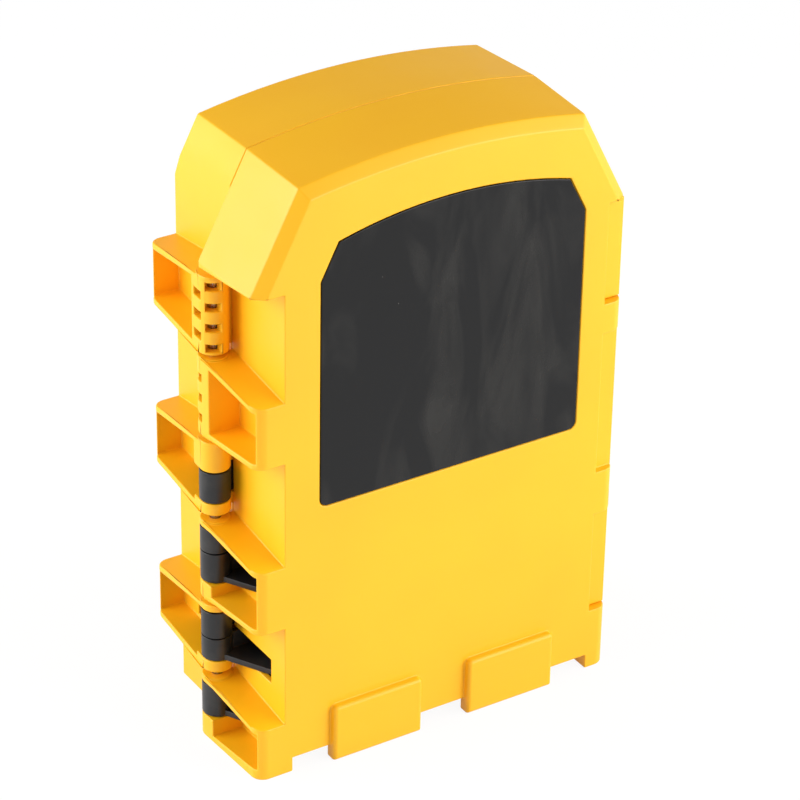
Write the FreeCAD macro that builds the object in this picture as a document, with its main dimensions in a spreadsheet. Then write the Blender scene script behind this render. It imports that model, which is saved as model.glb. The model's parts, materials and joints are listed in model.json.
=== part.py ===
import FreeCAD, Part
import math
import os
import Sketcher

# Driving sizes in millimetres, one row of the sheet each. X runs across the case, +Y to its back, +Z up.
# The two shells meet at y = 0, the feet stand on z = 0 and the hinge is on the -X side.
SIZES = {
    # Shells
    "case_width": 160.0,
    "front_depth": 37.2,
    "rear_depth": 40.2,
    "side_height": 202.0,
    "corner_height": 240.2,
    "corner_half": 60.3,
    "arch_rise": 5.8,
    "draft_run": 1.8,
    "wall": 2.4,
    "seam_gap": 0.2,
    "roof_bevel": 3.9,
    "corner_round": 5.0,
    "overrun": 1.0,
    # Base
    "base_lift": 6.0,
    "hinge_foot_width": 16.7,
    "latch_foot_width": 11.3,
    "bump_width": 38.7,
    "bump_height": 24.0,
    "bump_proud": 3.0,
    "bump_round": 2.0,
    "left_bump_start": -47.0,
    "right_bump_start": 12.4,
    # Hinge boxes: heights at the hinge, and how far the top and bottom walls slope towards the outer face
    "front_low_bottom": 0.0,
    "front_low_top": 27.1,
    "front_mid_bottom": 62.0,
    "front_mid_top": 95.5,
    "front_high_bottom": 131.5,
    "front_high_top": 163.3,
    "head_bottom": 199.0,
    "rear_low_bottom": 30.0,
    "rear_low_top": 59.5,
    "rear_mid_bottom": 98.5,
    "rear_mid_top": 129.0,
    "rear_high_bottom": 165.0,
    "rear_high_top": 196.3,
    "box_top_drop": 5.3,
    "box_bottom_rise": 2.3,
    "box_wall": 2.2,
    # Hinge
    "barrel_radius": 5.8,
    "barrel_gap": 1.6,
    "pin_radius": 2.0,
    "pin_fit": 0.05,
    "pin_bottom": 0.6,
    "pin_top": 194.0,
    "window_width": 5.0,
    "window_height": 3.2,
    "window_pitch": 8.2,
    "window_first": 5.2,
    "window_offset": -1.0,
    "window_shift": 2.3,
    # Knuckles of the two racks
    "front_low_knuckle": 10.0,
    "front_mid_knuckle": 35.2,
    "front_mid_knuckle_top": 44.6,
    "front_high_knuckle": 69.6,
    "front_high_knuckle_top": 81.8,
    "rear_low_knuckle": 45.0,
    "rear_mid_knuckle": 82.2,
    "rear_high_knuckle": 103.7,
    "rear_high_knuckle_top": 116.2,
    "knuckle_clearance": 0.4,
    "arm_reach": 26.0,
    # Label
    "label_middle": 3.4,
    "label_width": 110.7,
    "label_bottom": 111.5,
    "label_side_top": 202.4,
    "label_corner_half": 48.2,
    "label_corner_top": 216.2,
    "label_rise": 6.6,
    "label_round": 3.0,
    "label_thickness": 1.2,
    "label_clearance": 0.3,
    # Latch side
    "latch_recess": 10.4,
    "recess_step": 3.0,
    "low_recess_bottom": 26.2,
    "low_recess_top": 70.0,
    "mid_recess_bottom": 88.7,
    "mid_recess_top": 148.2,
    "high_recess_bottom": 160.6,
    "high_recess_top": 202.0,
    # Latches
    "latch_plate": 2.2,
    "latch_gap": 0.4,
    "latch_barrel": 4.0,
    "latch_pivot_depth": 12.0,
    "latch_inset": 0.8,
    "latch_pin_radius": 1.5,
    "latch_pin_hold": 1.6,
    "catch_depth": 22.0,
    "catch_width": 3.0,
    "catch_height": 1.4,
    "catch_clearance": 0.3,
    # Bit racks
    "rack_gap": 0.8,
    "rack_plate": 2.4,
    "rack_margin": 1.5,
    "rack_swing_room": 7.2,
    "rack_bottom": 12.0,
    "rack_top": 176.0,
    "bar_depth": 13.0,
    "bar_height": 12.0,
    "gusset_height": 2.4,
    "gusset_foot": 8.0,
    "slot_width": 15.0,
    "slot_height": 20.0,
    "slot_pitch": 22.0,
    "front_low_bar": 14.0,
    "front_mid_bar": 64.0,
    "front_high_bar": 114.0,
    "rear_low_bar": 14.0,
    "rear_high_bar": 130.0,
    # Bits
    "socket_pitch": 11.2,
    "socket_margin": 14.0,
    "socket_depth": 8.0,
    "socket_fit": 0.08,
    "shank_flats": 6.35,
    "short_shank": 15.0,
    "short_bit": 25.0,
    "long_bit": 50.0,
    "tip_radius": 2.4,
    "tip_end_width": 1.2,
    "wing_thickness": 1.2,
    "slot_tip_thickness": 1.0,
    "drill_shank": 26.0,
    "smallest_drill": 3.0,
    "drill_step": 1.0,
    "shortest_drill": 70.0,
    "drill_length_step": 7.0,
    "masonry_length": 85.0,
    "masonry_radius": 2.5,
    "masonry_tip_width": 6.0,
    "masonry_tip_height": 5.0,
    "masonry_tip_thickness": 1.6,
    "nut_driver_radius": 5.0,
    "nut_driver_length": 20.0,
    "nut_driver_bore": 3.5,
    "holder_radius": 5.0,
    "holder_length": 34.0,
    "spade_width": 8.0,
    "spade_height": 16.0,
    "spade_thickness": 1.6,
    "spade_stem": 18.0,
    "spade_stem_radius": 2.2,
    "countersink_radius": 5.0,
    "countersink_height": 6.0,
    "countersink_neck": 9.0,
}


class Size:
    """A length of the sheet or a sum of such lengths: its text in the document and its value."""

    def __init__(self, text, value):
        self.text = text
        self.value = value

    def joined(self, sign, other, value):
        text = other.text if isinstance(other, Size) else repr(other)
        return Size("(" + self.text + " " + sign + " " + text + ")", value)

    def __add__(self, other):
        return self.joined("+", other, self.value + number(other))

    def __sub__(self, other):
        return self.joined("-", other, self.value - number(other))

    def __mul__(self, other):
        return self.joined("*", other, self.value * number(other))

    def __truediv__(self, other):
        return self.joined("/", other, self.value / number(other))

    def __neg__(self):
        return Size("(0 - " + self.text + ")", -self.value)


def number(other):
    return other.value if isinstance(other, Size) else other


class Sheet:
    """The sheet of driving sizes, read by alias as sheet.case_width and so on."""

    def __init__(self, document):
        page = document.addObject("Spreadsheet::Sheet", "sizes")
        for row, (alias, length) in enumerate(SIZES.items(), start=1):
            cell = "B" + str(row)
            page.set("A" + str(row), alias)
            page.set(cell, str(length))
            page.setAlias(cell, alias)
            setattr(self, alias, Size("sizes." + alias, length))


doc = FreeCAD.newDocument("bit_case")
sheet = Sheet(doc)
doc.recompute()

ZERO = Size("0", 0.0)
UP = FreeCAD.Vector(0, 0, 1)
ACROSS = FreeCAD.Vector(1, 0, 0)
QUARTER_TURN = 90
FRONT = 1
REAR = -1

# Where the main surfaces lie
half_width = sheet.case_width / 2
half_gap = sheet.seam_gap / 2
axis_x = sheet.barrel_radius - half_width
notch_depth = sheet.barrel_radius * 2 + sheet.barrel_gap
notch_x = notch_depth - half_width
latch_wall_x = half_width - sheet.latch_recess
cavity_left = notch_x + sheet.wall
cavity_right = latch_wall_x - sheet.wall
cavity_floor = sheet.base_lift + sheet.wall
wing_floor = sheet.head_bottom + sheet.box_bottom_rise + sheet.wall
total_height = sheet.corner_height + sheet.arch_rise
draft_angle = Size("atan(sizes.draft_run / sizes.front_depth)",
                   math.degrees(math.atan(sheet.draft_run.value / sheet.front_depth.value)))


def body_of(label):
    body = doc.addObject("PartDesign::Body", label)
    body.Label = label
    return body


def plane_of(body, role):
    for feature in body.Origin.OriginFeatures:
        if feature.Role == role:
            return feature
    raise ValueError("no plane called " + role)


def tie(sketch, kind, geometry, distance):
    """Hold the start of one edge at a signed distance from the origin along one axis."""
    if abs(distance.value) < 1e-9:
        axis = -2 if kind == "DistanceX" else -1
        sketch.addConstraint(Sketcher.Constraint("PointOnObject", geometry, 1, axis))
        return
    if distance.value > 0:
        constraint = Sketcher.Constraint(kind, -1, 1, geometry, 1, distance.value)
        text = distance.text
    else:
        constraint = Sketcher.Constraint(kind, geometry, 1, -1, 1, -distance.value)
        text = (-distance).text
    index = sketch.addConstraint(constraint)
    sketch.setExpression("Constraints[" + str(index) + "]", text)


def new_sketch(body, name, role, offset):
    sketch = body.newObject("Sketcher::SketchObject", name)
    sketch.AttachmentSupport = (plane_of(body, role), [""])
    sketch.MapMode = "FlatFace"
    sketch.AttachmentOffset = FreeCAD.Placement(FreeCAD.Vector(0, 0, offset.value), FreeCAD.Rotation())
    sketch.setExpression("AttachmentOffset.Base.z", offset.text)
    return sketch


def arc_between(start, end, radius):
    """The short arc that runs anticlockwise from start to end."""
    chord = end - start
    middle = (start + end) * 0.5
    across = FreeCAD.Vector(chord.y, -chord.x, 0).normalize()
    rise = radius - (radius ** 2 - (chord.Length / 2) ** 2) ** 0.5
    return Part.Arc(start, middle + across * rise, end)


def outline(body, name, role, offset, points, arcs=None):
    """A closed outline through points, anticlockwise; arcs gives the radius of each edge that is round."""
    arcs = arcs or {}
    sketch = new_sketch(body, name, role, offset)
    places = [FreeCAD.Vector(x.value, y.value, 0) for x, y in points]
    count = len(points)
    for index in range(count):
        start = places[index]
        end = places[(index + 1) % count]
        if index in arcs:
            sketch.addGeometry(arc_between(start, end, arcs[index].value))
        else:
            sketch.addGeometry(Part.LineSegment(start, end))
    for index in range(count):
        sketch.addConstraint(Sketcher.Constraint("Coincident", index, 2, (index + 1) % count, 1))
    for index, (x, y) in enumerate(points):
        tie(sketch, "DistanceX", index, x)
        tie(sketch, "DistanceY", index, y)
    for index, radius in arcs.items():
        place = sketch.addConstraint(Sketcher.Constraint("Radius", index, radius.value))
        sketch.setExpression("Constraints[" + str(place) + "]", radius.text)
    return sketch


def rectangle(body, name, role, offset, low, high):
    (left, bottom), (right, top) = low, high
    if left.value > right.value:
        left, right = right, left
    corners = [(left, bottom), (right, bottom), (right, top), (left, top)]
    return outline(body, name, role, offset, corners)


def circle(body, name, offset, x, y, radius):
    """A circle on a level plane, centred on x and y."""
    sketch = new_sketch(body, name, "XY_Plane", offset)
    centre = FreeCAD.Vector(x.value, y.value, 0)
    sketch.addGeometry(Part.Circle(centre, FreeCAD.Vector(0, 0, 1), radius.value))
    place = sketch.addConstraint(Sketcher.Constraint("Radius", 0, radius.value))
    sketch.setExpression("Constraints[" + str(place) + "]", radius.text)
    for kind, distance, axis in (("DistanceX", x, -2), ("DistanceY", y, -1)):
        if abs(distance.value) < 1e-9:
            sketch.addConstraint(Sketcher.Constraint("PointOnObject", 0, 3, axis))
        elif distance.value > 0:
            place = sketch.addConstraint(Sketcher.Constraint(kind, -1, 1, 0, 3, distance.value))
            sketch.setExpression("Constraints[" + str(place) + "]", distance.text)
        else:
            place = sketch.addConstraint(Sketcher.Constraint(kind, 0, 3, -1, 1, -distance.value))
            sketch.setExpression("Constraints[" + str(place) + "]", (-distance).text)
    return sketch


def hexagon(body, name, offset, x, y, radius):
    """A hexagon on a level plane, with two of its corners along X."""
    near_share = 0.5
    side_share = 3 ** 0.5 / 2
    corner_shares = [(1, 0), (near_share, side_share), (-near_share, side_share),
                     (-1, 0), (-near_share, -side_share), (near_share, -side_share)]
    corners = [(x + radius * across, y + radius * along) for across, along in corner_shares]
    return outline(body, name, "XY_Plane", offset, corners)


def extrude(body, kind, profile, length, along):
    """Pad or pocket a profile along its plane's normal (along = 1) or against it (along = -1)."""
    feature = body.newObject("PartDesign::" + kind, profile.Name + "_" + kind.lower())
    feature.Profile = profile
    feature.Length = length.value
    feature.setExpression("Length", length.text)
    feature.Reversed = (along < 0) if kind == "Pad" else (along > 0)
    return feature


def pad(body, profile, length, along=1):
    return extrude(body, "Pad", profile, length, along)


def pocket(body, profile, length, along=1):
    return extrude(body, "Pocket", profile, length, along)


def settle(feature):
    """Recompute until a feature has its shape: a new draft needs a second pass."""
    for _ in range(2):
        doc.recompute()
    if feature.Shape.isNull():
        raise ValueError(feature.Name + " has no shape")


def dress(body, kind, name, base, edges, size):
    """A fillet or chamfer of one size along some edges of the feature before it."""
    feature = body.newObject("PartDesign::" + kind, name)
    feature.Base = (base, edges)
    key = "Radius" if kind == "Fillet" else "Size"
    setattr(feature, key, size.value)
    feature.setExpression(key, size.text)
    return feature


def row_along(body, feature, direction, pitch, count):
    """Repeat a feature along one axis of its body."""
    doc.recompute()
    pattern = body.newObject("PartDesign::LinearPattern", feature.Name + "_row")
    pattern.Originals = [feature]
    pattern.Direction = (plane_of(body, direction), [""])
    length = pitch * (count - 1)
    pattern.Length = length.value
    pattern.setExpression("Length", length.text)
    pattern.Occurrences = count
    body.Tip = pattern


def min_of(one, other):
    return one if one.value < other.value else other


def max_of(one, other):
    return other if one.value < other.value else one


def arch_radius(half, rise):
    return (half * half + rise * rise) / (rise * 2)


# Shells

class Shell:
    """One half of the case. outward is 1 for the front, whose depth runs along -Y, and -1 for the rear."""

    def __init__(self, label, outward):
        self.body = body_of(label)
        self.label = label
        self.outward = outward
        self.depth = sheet.front_depth if outward == FRONT else sheet.rear_depth

    def named(self, name):
        return self.label + "_" + name

    def deep(self, depth):
        """Distance of a depth from the seam along the normal of the upright plane."""
        return depth * self.outward

    def y(self, depth):
        return depth * -self.outward

    def outer_outline(self):
        """The outline of the shell where it meets the other one."""
        half = half_width
        corner = sheet.corner_half
        top = sheet.corner_height
        points = [(-half, ZERO), (half, ZERO), (half, sheet.side_height), (corner, top),
                  (-corner, top), (-half, sheet.side_height)]
        arcs = {3: arch_radius(corner, sheet.arch_rise)}
        return outline(self.body, self.named("seam"), "XZ_Plane", self.deep(half_gap), points, arcs)

    def cavity_outline(self):
        """The mouth of the hollow, inside the drafted walls by their thickness."""
        shrink = sheet.draft_run
        corner_inset_share = 0.6
        corner_drop_share = 1.05
        wing_inset_share = 1.5
        corner = sheet.corner_half - sheet.wall * corner_inset_share - shrink
        corner_z = sheet.corner_height - sheet.wall * corner_drop_share - shrink
        wing = half_width - sheet.wall * wing_inset_share - shrink
        left_wing = wing
        if self.outward == REAR:
            left_wing = -cavity_left
        points = [(cavity_left, cavity_floor), (cavity_right, cavity_floor), (cavity_right, wing_floor),
                  (wing, wing_floor), (corner, corner_z), (-corner, corner_z)]
        if self.outward == FRONT:
            points += [(-left_wing, wing_floor), (cavity_left, wing_floor)]
        else:
            slope = (corner_z - wing_floor) / (wing - corner)
            points += [(cavity_left, corner_z - slope * (left_wing - corner))]
        arcs = {4: arch_radius(corner, sheet.arch_rise)}
        return outline(self.body, self.named("cavity"), "XZ_Plane", ZERO, points, arcs)

    def form(self):
        """The drafted block of the shell, with its bevelled roof and rounded upright corners."""
        block = pad(self.body, self.outer_outline(), self.depth - half_gap, self.outward)
        doc.recompute()
        draft = self.body.newObject("PartDesign::Draft", self.named("draft"))
        draft.Base = (block, self.faces_where(block, self.is_side))
        draft.NeutralPlane = (block, self.faces_where(block, self.is_seam))
        draft.Angle = draft_angle.value
        draft.setExpression("Angle", draft_angle.text)
        draft.Reversed = self.outward == FRONT
        settle(draft)
        bevel = dress(self.body, "Chamfer", self.named("roof_bevel"), draft,
                      self.face_edges(draft, self.is_roof_edge), sheet.roof_bevel)
        doc.recompute()
        dress(self.body, "Fillet", self.named("corner_round"), bevel,
              self.face_edges(bevel, self.is_upright_edge), sheet.corner_round)

    def faces_where(self, feature, wanted):
        faces = enumerate(feature.Shape.Faces, start=1)
        return ["Face" + str(index) for index, face in faces if wanted(face)]

    def is_seam(self, face):
        return face.BoundBox.YLength < sheet.pin_fit.value and abs(face.CenterOfMass.y) < half_gap.value * 2

    def is_side(self, face):
        return face.BoundBox.YLength > sheet.wall.value and face.BoundBox.ZMax > sheet.base_lift.value

    def face_edges(self, feature, wanted):
        """Names of the edges that lie in the outer face and pass a test."""
        face_y = self.y(self.depth).value
        names = []
        for index, edge in enumerate(feature.Shape.Edges, start=1):
            box = edge.BoundBox
            level = max(abs(box.YMin - face_y), abs(box.YMax - face_y)) < half_gap.value
            if level and wanted(box):
                names.append("Edge" + str(index))
        return names

    def is_roof_edge(self, box):
        return box.ZMin > sheet.side_height.value - sheet.overrun.value

    def is_upright_edge(self, box):
        return box.ZLength > sheet.side_height.value / 2

    def hollow(self):
        pocket(self.body, self.cavity_outline(), self.depth - sheet.wall, self.outward)

    def notch(self, name, low, high):
        """Clear the hinge side between two boxes, low and high being pairs at the hinge and at the face."""
        start = -sheet.overrun
        end = self.depth + sheet.bump_proud
        points = [(self.y(start), low[0]), (self.y(end), low[1]),
                  (self.y(end), high[1]), (self.y(start), high[0])]
        if self.outward == FRONT:
            points = points[::-1]
        profile = outline(self.body, self.named(name), "YZ_Plane", notch_x, points)
        pocket(self.body, profile, notch_depth + sheet.overrun, -1)

    def core(self, name, bottom, top):
        """Open one hinge box towards its outer side, with walls all round."""
        start = sheet.barrel_radius
        end = self.depth - sheet.box_wall
        start_share = start / self.depth
        end_share = end / self.depth
        points = []
        for depth, share in ((start, start_share), (end, end_share)):
            points.append((self.y(depth), bottom + sheet.box_wall + share * sheet.box_bottom_rise))
        for depth, share in ((end, end_share), (start, start_share)):
            points.append((self.y(depth), top - sheet.box_wall - share * sheet.box_top_drop))
        if self.outward == FRONT:
            points = points[::-1]
        profile = outline(self.body, self.named(name), "YZ_Plane", notch_x, points)
        pocket(self.body, profile, notch_depth + sheet.overrun, -1)

    def barrel(self, name, bottom, top):
        profile = circle(self.body, self.named(name), bottom, axis_x, ZERO, sheet.barrel_radius)
        pad(self.body, profile, top - bottom)

    def ladder(self, name, bottom):
        """Windows up one barrel, in two staggered columns: one to the side, one to the other shell."""
        count = 3
        low = bottom + sheet.window_first
        side = rectangle(self.body, self.named(name + "_side"), "YZ_Plane", axis_x, (sheet.window_offset, low),
                         (sheet.window_offset + sheet.window_width, low + sheet.window_height))
        first = pocket(self.body, side, sheet.barrel_radius + sheet.overrun, -1)
        row_along(self.body, first, "Z_Axis", sheet.window_pitch, count)
        low = low - sheet.window_pitch / 2
        left = axis_x - sheet.window_shift - sheet.window_width / 2
        back = rectangle(self.body, self.named(name + "_back"), "XZ_Plane", ZERO, (left, low),
                         (left + sheet.window_width, low + sheet.window_height))
        first = pocket(self.body, back, sheet.barrel_radius + sheet.overrun, -self.outward)
        row_along(self.body, first, "Z_Axis", sheet.window_pitch, count + 1)

    def knuckle_room(self, name, bottom, top, below_roof):
        """Clear a barrel's place and a slot in the side wall behind it for a rack's knuckle and arm."""
        low = bottom - sheet.knuckle_clearance
        high = top + sheet.knuckle_clearance
        start = -sheet.barrel_radius - sheet.overrun
        end = sheet.arm_reach + sheet.overrun
        points = [(self.y(start), low), (self.y(end), low)]
        if below_roof:
            fall = sheet.box_top_drop * ((end - sheet.barrel_radius) / self.depth)
            points += [(self.y(end), high - fall), (self.y(sheet.barrel_radius), high)]
        else:
            points += [(self.y(end), high)]
        points += [(self.y(start), high)]
        if self.outward == FRONT:
            points = points[::-1]
        inner = cavity_left + sheet.overrun
        profile = outline(self.body, self.named(name), "YZ_Plane", inner, points)
        pocket(self.body, profile, inner + half_width + sheet.overrun, -1)

    def bore(self):
        profile = circle(self.body, self.named("pin_bore"), -sheet.overrun, axis_x, ZERO,
                         sheet.pin_radius + sheet.pin_fit)
        pocket(self.body, profile, sheet.pin_top + sheet.overrun + sheet.knuckle_clearance, 1)

    def base(self):
        profile = rectangle(self.body, self.named("base"), "XZ_Plane", ZERO,
                            (sheet.hinge_foot_width - half_width, -sheet.overrun),
                            (half_width - sheet.latch_foot_width, sheet.base_lift))
        pocket(self.body, profile, self.depth + sheet.overrun, self.outward)

    def bump(self, name, start):
        """A pad on the lower face that the case can also stand against."""
        end = start + sheet.bump_width
        top = sheet.bump_height
        round_off = sheet.bump_round
        points = [(start, ZERO), (end, ZERO), (end, top - round_off), (end - round_off, top),
                  (start + round_off, top), (start, top - round_off)]
        arcs = {2: round_off, 4: round_off}
        proud = self.depth + sheet.bump_proud
        profile = outline(self.body, self.named(name), "XZ_Plane", self.deep(proud), points, arcs)
        pad(self.body, profile, sheet.bump_proud + sheet.wall, -self.outward)

    def recess(self, name, bottom, top):
        """Clear the latch side between two blocks, right through the depth of the shell."""
        start = -sheet.overrun
        end = self.depth + sheet.overrun
        profile = rectangle(self.body, self.named(name), "YZ_Plane", latch_wall_x,
                            (self.y(start), bottom), (self.y(end), top))
        pocket(self.body, profile, sheet.latch_recess + sheet.overrun, 1)

    def step(self, name, bottom, top):
        """Set the face back beside the latch side."""
        level = self.deep(self.depth - sheet.recess_step)
        profile = rectangle(self.body, self.named(name), "XZ_Plane", level,
                            (latch_wall_x, bottom), (half_width + sheet.overrun, top))
        pocket(self.body, profile, sheet.recess_step + sheet.overrun, self.outward)

    def block_core(self, name, bottom, top, set_back):
        """Open a block of the latch side towards its outer side, with walls all round."""
        profile = rectangle(self.body, self.named(name), "YZ_Plane", latch_wall_x,
                            (self.y(half_gap + sheet.box_wall), bottom + sheet.box_wall),
                            (self.y(self.depth - sheet.box_wall - set_back), top - sheet.box_wall))
        pocket(self.body, profile, sheet.latch_recess + sheet.overrun, 1)

    def latch_side(self):
        self.recess("low_recess", sheet.low_recess_bottom, sheet.low_recess_top)
        self.recess("high_recess", sheet.high_recess_bottom, sheet.high_recess_top)
        self.step("mid_step", sheet.mid_recess_bottom, sheet.mid_recess_top)
        self.block_core("low_block", ZERO, sheet.low_recess_bottom, ZERO)
        self.block_core("mid_block", sheet.low_recess_top, sheet.mid_recess_bottom, ZERO)
        self.block_core("grip_block", sheet.mid_recess_bottom, sheet.mid_recess_top, sheet.recess_step)
        self.block_core("high_block", sheet.mid_recess_top, sheet.high_recess_bottom, ZERO)


def hinge_side(shell, boxes, notches, rooms):
    for name, low, high in notches:
        shell.notch(name + "_notch", low, high)
    for name, bottom, top in boxes:
        shell.core(name + "_core", bottom, top)
        shell.barrel(name + "_barrel", bottom, top)
    for name, bottom, top, below_roof in rooms:
        shell.knuckle_room(name + "_room", bottom, top, below_roof)
    shell.ladder(boxes[-1][0] + "_ladder", boxes[-1][1])
    shell.bore()


def under_roof(top, depth):
    """How high a knuckle can reach below the sloping roof of a hinge box."""
    fall = sheet.box_top_drop * (sheet.barrel_radius / depth)
    return top - sheet.box_wall - fall - sheet.knuckle_clearance


front_low_knuckle_top = under_roof(sheet.front_low_top, sheet.front_depth)
rear_low_knuckle_top = under_roof(sheet.rear_low_top, sheet.rear_depth)
rear_mid_knuckle_top = under_roof(sheet.front_mid_top, sheet.front_depth)


def sloped_top(top):
    return (top, top - sheet.box_top_drop)


def sloped_bottom(bottom):
    return (bottom, bottom + sheet.box_bottom_rise)


def make_front_shell():
    shell = Shell("front_shell", FRONT)
    shell.form()
    shell.hollow()
    shell.base()
    boxes = [("low", sheet.front_low_bottom, sheet.front_low_top),
             ("mid", sheet.front_mid_bottom, sheet.front_mid_top),
             ("high", sheet.front_high_bottom, sheet.front_high_top)]
    notches = [("low", sloped_top(sheet.front_low_top), sloped_bottom(sheet.front_mid_bottom)),
               ("mid", sloped_top(sheet.front_mid_top), sloped_bottom(sheet.front_high_bottom)),
               ("high", sloped_top(sheet.front_high_top), sloped_bottom(sheet.head_bottom))]
    rooms = [("low", sheet.front_low_knuckle, front_low_knuckle_top, True),
             ("mid", sheet.front_mid_knuckle, sheet.front_mid_knuckle_top, False),
             ("high", sheet.front_high_knuckle, rear_mid_knuckle_top, True)]
    hinge_side(shell, boxes, notches, rooms)
    shell.latch_side()
    shell.bump("left_bump", sheet.left_bump_start)
    shell.bump("right_bump", sheet.right_bump_start)
    return shell.body


def make_rear_shell():
    shell = Shell("rear_shell", REAR)
    shell.form()
    shell.hollow()
    shell.base()
    boxes = [("low", sheet.rear_low_bottom, sheet.rear_low_top),
             ("mid", sheet.rear_mid_bottom, sheet.rear_mid_top),
             ("high", sheet.rear_high_bottom, sheet.rear_high_top)]
    below = -sheet.overrun
    above = total_height + sheet.overrun
    notches = [("base", (below, below), sloped_bottom(sheet.rear_low_bottom)),
               ("low", sloped_top(sheet.rear_low_top), sloped_bottom(sheet.rear_mid_bottom)),
               ("mid", sloped_top(sheet.rear_mid_top), sloped_bottom(sheet.rear_high_bottom)),
               ("high", sloped_top(sheet.rear_high_top), (above, above))]
    rooms = [("low", sheet.front_mid_knuckle, rear_low_knuckle_top, True),
             ("mid", sheet.rear_mid_knuckle, rear_mid_knuckle_top, False),
             ("high", sheet.rear_high_knuckle, sheet.rear_high_knuckle_top, False)]
    hinge_side(shell, boxes, notches, rooms)
    shell.latch_side()
    return shell.body


# Label and pins

def label_outline(body, name, depth, grow):
    """The label's outline, arched at the top like the roof, larger all round by grow."""
    left = sheet.label_middle - sheet.label_width / 2 - grow
    right = sheet.label_middle + sheet.label_width / 2 + grow
    corner_left = sheet.label_middle - sheet.label_corner_half - grow
    corner_right = sheet.label_middle + sheet.label_corner_half + grow
    bottom = sheet.label_bottom - grow
    top = sheet.label_corner_top + grow
    round_off = sheet.label_round + grow
    points = [(left + round_off, bottom), (right - round_off, bottom), (right, bottom + round_off),
              (right, sheet.label_side_top), (corner_right, top), (corner_left, top),
              (left, sheet.label_side_top), (left, bottom + round_off)]
    arcs = {1: round_off, 4: arch_radius(sheet.label_corner_half + grow, sheet.label_rise), 7: round_off}
    return outline(body, name, "XZ_Plane", depth, points, arcs)


def make_label():
    body = body_of("label_panel")
    profile = label_outline(body, "label_profile", sheet.front_depth - sheet.label_thickness, ZERO)
    pad(body, profile, sheet.label_thickness)
    return body


def make_pin(label, x, y, radius, bottom, top):
    body = body_of(label)
    pad(body, circle(body, label + "_profile", bottom, x, y, radius), top - bottom)
    return body


# Latches

latch_x = half_width - sheet.draft_run - sheet.latch_barrel
latch_y = sheet.latch_pivot_depth


def make_latch(label, bottom, top):
    """A flap that turns on the rear shell, runs along the side and closes the step beside the face."""
    body = body_of(label)
    low = bottom + sheet.latch_gap
    outer = latch_x + sheet.latch_barrel
    inner = outer - sheet.latch_plate
    lip = latch_wall_x + sheet.catch_height + sheet.catch_clearance
    root = latch_wall_x + sheet.latch_inset
    face = sheet.recess_step - sheet.front_depth
    catch = -sheet.catch_depth - sheet.catch_width - sheet.catch_clearance
    points = [(outer, latch_y), (inner, latch_y), (inner, catch), (lip, catch),
              (lip, catch - sheet.latch_plate), (inner, catch - sheet.latch_plate),
              (inner, face + sheet.latch_plate),
              (root, face + sheet.latch_plate), (root, face), (outer, face)]
    profile = outline(body, label + "_profile", "XY_Plane", low, points)
    height = top - bottom - sheet.latch_gap * 2
    pad(body, profile, height)
    pad(body, circle(body, label + "_barrel", low, latch_x, latch_y, sheet.latch_barrel), height)
    bore = circle(body, label + "_bore", low, latch_x, latch_y, sheet.latch_pin_radius + sheet.pin_fit)
    pocket(body, bore, height, 1)
    return body


def latch_seats(rear_body, front_body):
    """Holes for the latch pins in the rear shell's blocks, and ribs for the latches on the front shell."""
    for name, bottom, top in (("low", sheet.low_recess_bottom, sheet.low_recess_top),
                              ("high", sheet.high_recess_bottom, sheet.high_recess_top)):
        hold = sheet.latch_pin_hold
        hole = circle(rear_body, "rear_shell_" + name + "_pin_hole", bottom - hold, latch_x, latch_y,
                      sheet.latch_pin_radius + sheet.pin_fit)
        pocket(rear_body, hole, top - bottom + hold * 2, 1)
        rib = rectangle(front_body, "front_shell_" + name + "_catch", "XY_Plane", bottom,
                        (latch_wall_x - sheet.wall / 2, -sheet.catch_depth - sheet.catch_width),
                        (latch_wall_x + sheet.catch_height, -sheet.catch_depth))
        pad(front_body, rib, top - bottom)


# Bit racks

rack_left = cavity_left + sheet.rack_margin
rack_right = cavity_right - sheet.rack_swing_room
shank_radius = sheet.shank_flats / 3 ** 0.5
socket_radius = shank_radius + sheet.socket_fit
socket_y = sheet.rack_gap + sheet.rack_plate + (sheet.bar_depth - sheet.rack_plate) / 2
first_socket = rack_left + sheet.socket_margin
tip_length = sheet.short_bit - sheet.short_shank
SOCKETS = 10
ROUND_SIDES = 16
square_share = 2 ** 0.5


def make_rack(label, outward, bars, knuckles, slots):
    """A hinged leaf: a slotted plate with bars of sockets, and knuckles on gusset arms along one edge."""
    body = body_of(label)
    near = sheet.rack_gap * outward
    plate = rectangle(body, label + "_plate", "XZ_Plane", near, (rack_left, sheet.rack_bottom),
                      (rack_right, sheet.rack_top))
    pad(body, plate, sheet.rack_plate, outward)
    for index, bottom in enumerate(bars):
        name = label + "_bar_" + str(index + 1)
        top = bottom + sheet.bar_height
        bar = rectangle(body, name, "XZ_Plane", near, (rack_left, bottom), (rack_right, top))
        pad(body, bar, sheet.bar_depth, outward)
        socket = hexagon(body, name + "_socket", top, first_socket, socket_y * -outward, socket_radius)
        first = pocket(body, socket, sheet.socket_depth, -1)
        row_along(body, first, "X_Axis", sheet.socket_pitch, SOCKETS)
    for index, bottom in enumerate(slots):
        slot = rectangle(body, label + "_slot_" + str(index + 1), "XZ_Plane", ZERO,
                         (first_socket, bottom), (first_socket + sheet.slot_width, bottom + sheet.slot_height))
        first = pocket(body, slot, sheet.bar_depth, outward)
        row_along(body, first, "X_Axis", sheet.slot_pitch, SOCKETS // 2)
    for index, (bottom, top) in enumerate(knuckles):
        make_knuckle(body, label + "_knuckle_" + str(index + 1), outward, bottom, top)
    bore_radius = sheet.pin_radius + sheet.pin_fit
    bore = circle(body, label + "_bore", sheet.front_low_bottom, axis_x, ZERO, bore_radius)
    pocket(body, bore, sheet.rack_top, 1)
    return body


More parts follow.
